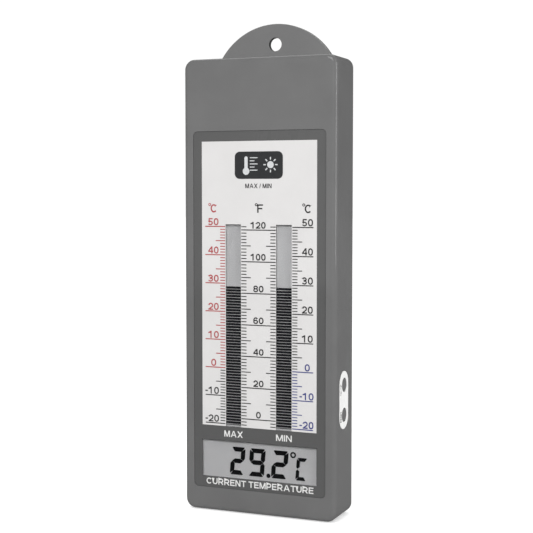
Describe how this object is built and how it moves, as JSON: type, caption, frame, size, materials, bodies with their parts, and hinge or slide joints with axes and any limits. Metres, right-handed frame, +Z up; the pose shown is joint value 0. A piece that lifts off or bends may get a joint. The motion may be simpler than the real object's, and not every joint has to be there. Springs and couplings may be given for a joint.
{
  "type": "maximum minimum thermometer",
  "caption": "Wall-hung digital maximum minimum thermometer with two liquid-crystal bars between printed scales, a digit window, side push buttons and a hanging tab.",
  "frame": {"origin": "middle of the flat back at the case's mid-height, on the plane that lies against the wall", "axes": "+Z up, towards the hanging tab; +Y out of the back, into the wall, so the face looks along -Y; +X towards the side with the push buttons"},
  "size_m": [0.08, 0.024, 0.2415],
  "materials": {
    "case": "fine moulded satin, mid grey",
    "overlay_print": "smooth printed sheet, dark grey",
    "scale_print": "smooth printed sheet, white",
    "clear_lens": "clear acrylic",
    "lcd_cell": "grey-green liquid-crystal cell with its polariser",
    "frame_plastic": "plain moulded, off-white",
    "contact_rubber": "layered silicone contact strip",
    "board": "green solder mask",
    "black_resin": "black resin",
    "capacitor_sleeve": "shrunk plastic sleeve",
    "sensor_bead": "dipped epoxy bead",
    "button": "moulded satin, mid grey",
    "cell_jacket": "plain printed battery jacket",
    "red_sleeve": "PVC wire sleeve, red",
    "black_sleeve": "PVC wire sleeve, black",
    "screw": "zinc-plated steel",
    "nickel": "nickel plate"
  },
  "bodies": {
    "case": {"front_case": "case", "rear_cover": "case", "face_overlay": "overlay_print", "scale_plate": "scale_print", "display_lens": "clear_lens", "lcd_glass": "lcd_cell", "lcd_frame": "frame_plastic", "zebra_strip_left": "contact_rubber", "zebra_strip_right": "contact_rubber", "main_board": "board", "chip_blob": "black_resin", "clock_crystal": "nickel", "reservoir_capacitor": "capacitor_sleeve", "resistor_1": "black_resin", "resistor_2": "black_resin", "resistor_3": "black_resin", "temperature_sensor": "sensor_bead", "button_label": "scale_print", "switch_upper": "black_resin", "switch_lower": "black_resin", "battery": "cell_jacket", "battery_spring": "nickel", "battery_plate_plus": "nickel", "battery_plate_minus": "nickel", "wire_plus": "red_sleeve", "wire_minus": "black_sleeve", "case_screw_1": "screw", "case_screw_2": "screw", "case_screw_3": "screw", "case_screw_4": "screw", "case_screw_5": "screw", "case_screw_6": "screw", "board_screw_1": "screw", "board_screw_2": "screw", "board_screw_3": "screw", "board_screw_4": "screw"},
    "upper_button": {"button_upper": "button", "plunger_upper": "frame_plastic"},
    "lower_button": {"button_lower": "button", "plunger_lower": "frame_plastic"},
    "lid": {"battery_door": "case"}
  },
  "joints": [
    {"name": "upper_button_press", "type": "slide", "parent": "case", "child": "upper_button", "axis": [-1, 0, 0], "range_m": [0, 0.0006], "stiffness_N_per_m": 1500},
    {"name": "lower_button_press", "type": "slide", "parent": "case", "child": "lower_button", "axis": [-1, 0, 0], "range_m": [0, 0.0006], "stiffness_N_per_m": 1500},
    {"name": "battery_door_tilt", "type": "hinge", "parent": "case", "child": "lid", "pos_m": [0, 0, -0.0846], "axis": [-1, 0, 0], "range_deg": [0, 70]}
  ]
}
